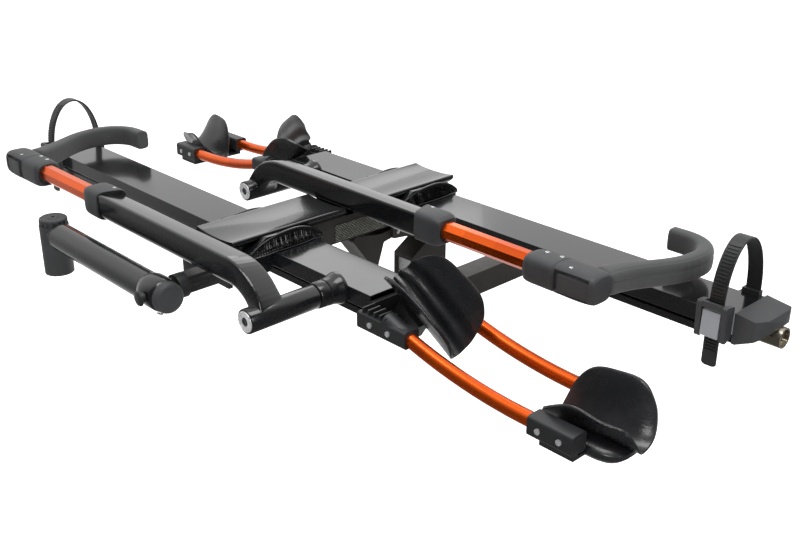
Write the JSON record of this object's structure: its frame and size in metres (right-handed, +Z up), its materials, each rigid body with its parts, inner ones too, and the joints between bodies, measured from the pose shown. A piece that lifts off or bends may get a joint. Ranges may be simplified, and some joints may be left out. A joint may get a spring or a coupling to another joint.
{
  "type": "hitch mounted bike rack",
  "caption": "Platform bike rack for a square receiver hitch: trays on a folding spine, swing-over arms with sliding wheel hooks, ratchet straps, wheel cradles and a fold-out work stand mast.",
  "frame": {"origin": "centre of the hitch pin hole, on the axis of the square stinger", "axes": "+X along the pin hole and the trays, +Y towards the vehicle along the stinger, +Z up"},
  "size_m": [1.5182, 1.012, 0.3819],
  "materials": {
    "stinger_coat": "satin powder coat",
    "neck_coat": "satin powder coat",
    "steel": "zinc plated, satin",
    "knob": "moulded, ribbed",
    "spine_coat": "satin powder coat",
    "gloss_coat": "gloss metallic gunmetal",
    "plate": "embossed plate",
    "pedal": "satin",
    "mast_coat": "gloss",
    "moulded": "fine moulded texture",
    "cap": "moulded, satin",
    "lock": "nickel plate",
    "strap": "flexible, toothed",
    "lever": "moulded, pale grey",
    "disc": "turned bright",
    "anodised": "orange anodised",
    "rubbery": "matte",
    "cup": "moulded, satin",
    "screw": "bright"
  },
  "bodies": {
    "hitch_mount": {"stinger": "stinger_coat", "neck": "neck_coat"},
    "cam_knob": {"cam_knob": "knob", "draw_rod": "steel"},
    "cam_ball": {"cam_ball": "steel"},
    "spine": {"spine_tube": "spine_coat", "spine_cover": "gloss_coat", "label_plate": "plate", "pivot_cheeks": "spine_coat", "pivot_pins": "steel", "pedal_spring": "steel", "mast_bracket": "moulded", "mast_screws": "screw", "tray_panels_1": "gloss_coat", "hub_wings_1": "gloss_coat", "tray_end_cap_1": "cap", "cable_lock_1": "lock", "strap_1": "strap", "buckle_base_1": "cap", "arm_spindle_1": "gloss_coat", "arm_end_disc_1": "disc", "cradle_clips_1": "moulded", "cradle_tubes_1": "anodised", "inner_cup_1": "cup", "outer_cup_1": "cup", "cradle_screws_1": "screw", "tray_panels_2": "gloss_coat", "hub_wings_2": "gloss_coat", "tray_end_cap_2": "cap", "cable_lock_2": "lock", "strap_2": "strap", "buckle_base_2": "cap", "arm_spindle_2": "gloss_coat", "arm_end_disc_2": "disc", "cradle_clips_2": "moulded", "cradle_tubes_2": "anodised", "inner_cup_2": "cup", "outer_cup_2": "cup", "cradle_screws_2": "screw"},
    "foot_pedal": {"foot_pedal": "pedal"},
    "lock_pin": {"lock_pin": "steel"},
    "mast": {"mast_knuckle": "mast_coat", "mast_tube": "mast_coat", "mast_head": "cap"},
    "clamp_knob": {"clamp_knob": "cap"},
    "arm_1": {"arm_tube_1": "gloss_coat", "arm_collar_1": "cap"},
    "hook_1": {"hook_tube_1": "anodised", "hook_housing_1": "cap", "hook_1": "rubbery"},
    "hook_trigger_1": {"hook_trigger_1": "cap"},
    "buckle_lever_1": {"buckle_lever_1": "lever"},
    "arm_2": {"arm_tube_2": "gloss_coat", "arm_collar_2": "cap"},
    "hook_2": {"hook_tube_2": "anodised", "hook_housing_2": "cap", "hook_2": "rubbery"},
    "hook_trigger_2": {"hook_trigger_2": "cap"},
    "buckle_lever_2": {"buckle_lever_2": "lever"}
  },
  "joints": [
    {"name": "rack_fold", "type": "hinge", "parent": "hitch_mount", "child": "spine", "pos_m": [0, -0.28, 0.169], "axis": [-1, 0, 0], "range_deg": [-20, 90]},
    {"name": "cam_knob_turn", "type": "hinge", "parent": "hitch_mount", "child": "cam_knob", "pos_m": [0, -0.36, -0.01405], "axis": [0, -1, 0], "range_deg": [0, 360]},
    {"name": "cam_ball_slide", "type": "slide", "parent": "hitch_mount", "child": "cam_ball", "axis": [0, 0, -1], "range_m": [0, 0.003]},
    {"name": "pedal_press", "type": "hinge", "parent": "spine", "child": "foot_pedal", "pos_m": [0, -0.395, 0.181], "axis": [1, 0, 0], "range_deg": [0, 15], "stiffness_Nm_per_rad": 20, "springref_deg": -11.46},
    {"name": "lock_pin_slide", "type": "slide", "parent": "spine", "child": "lock_pin", "axis": [0, -1, 0], "range_m": [0, 0.012]},
    {"name": "mast_lift", "type": "hinge", "parent": "spine", "child": "mast", "pos_m": [0.045, -0.91, 0.224], "axis": [0, 1, 0], "range_deg": [0, 90]},
    {"name": "clamp_knob_turn", "type": "hinge", "parent": "mast", "child": "clamp_knob", "pos_m": [-0.291, -0.91, 0.241], "axis": [0, 0, 1], "continuous": true},
    {"name": "arm_1_swing", "type": "hinge", "parent": "spine", "child": "arm_1", "pos_m": [0.229, -0.84, 0.231], "axis": [0, 1, 0], "range_deg": [0, 150]},
    {"name": "hook_1_slide", "type": "slide", "parent": "arm_1", "child": "hook_1", "axis": [-1, 0, 0], "range_m": [-0.14, 0.015]},
    {"name": "hook_1_trigger", "type": "hinge", "parent": "hook_1", "child": "hook_trigger_1", "pos_m": [-0.56, -0.859, 0.278], "axis": [0, 0, 1], "range_deg": [0, 6], "stiffness_Nm_per_rad": 0.6, "springref_deg": -17.19},
    {"name": "buckle_1_lever", "type": "hinge", "parent": "spine", "child": "buckle_lever_1", "pos_m": [-0.68, -0.725, 0.243], "axis": [-1, 0, 0], "range_deg": [0, 40], "stiffness_Nm_per_rad": 0.3, "springref_deg": -17.19},
    {"name": "arm_2_swing", "type": "hinge", "parent": "spine", "child": "arm_2", "pos_m": [-0.229, -0.51, 0.231], "axis": [0, -1, 0], "range_deg": [0, 150]},
    {"name": "hook_2_slide", "type": "slide", "parent": "arm_2", "child": "hook_2", "axis": [1, 0, 0], "range_m": [-0.14, 0.015]},
    {"name": "hook_2_trigger", "type": "hinge", "parent": "hook_2", "child": "hook_trigger_2", "pos_m": [0.56, -0.529, 0.278], "axis": [0, 0, -1], "range_deg": [0, 6], "stiffness_Nm_per_rad": 0.6, "springref_deg": -17.19},
    {"name": "buckle_2_lever", "type": "hinge", "parent": "spine", "child": "buckle_lever_2", "pos_m": [0.68, -0.395, 0.243], "axis": [-1, 0, 0], "range_deg": [0, 40], "stiffness_Nm_per_rad": 0.3, "springref_deg": -17.19}
  ],
  "couplings": [
    {"joint": "cam_ball_slide", "follows": "cam_knob_turn", "m_per_rad": 0.0004775},
    {"joint": "lock_pin_slide", "follows": "pedal_press", "m_per_rad": 0.045836}
  ]
}
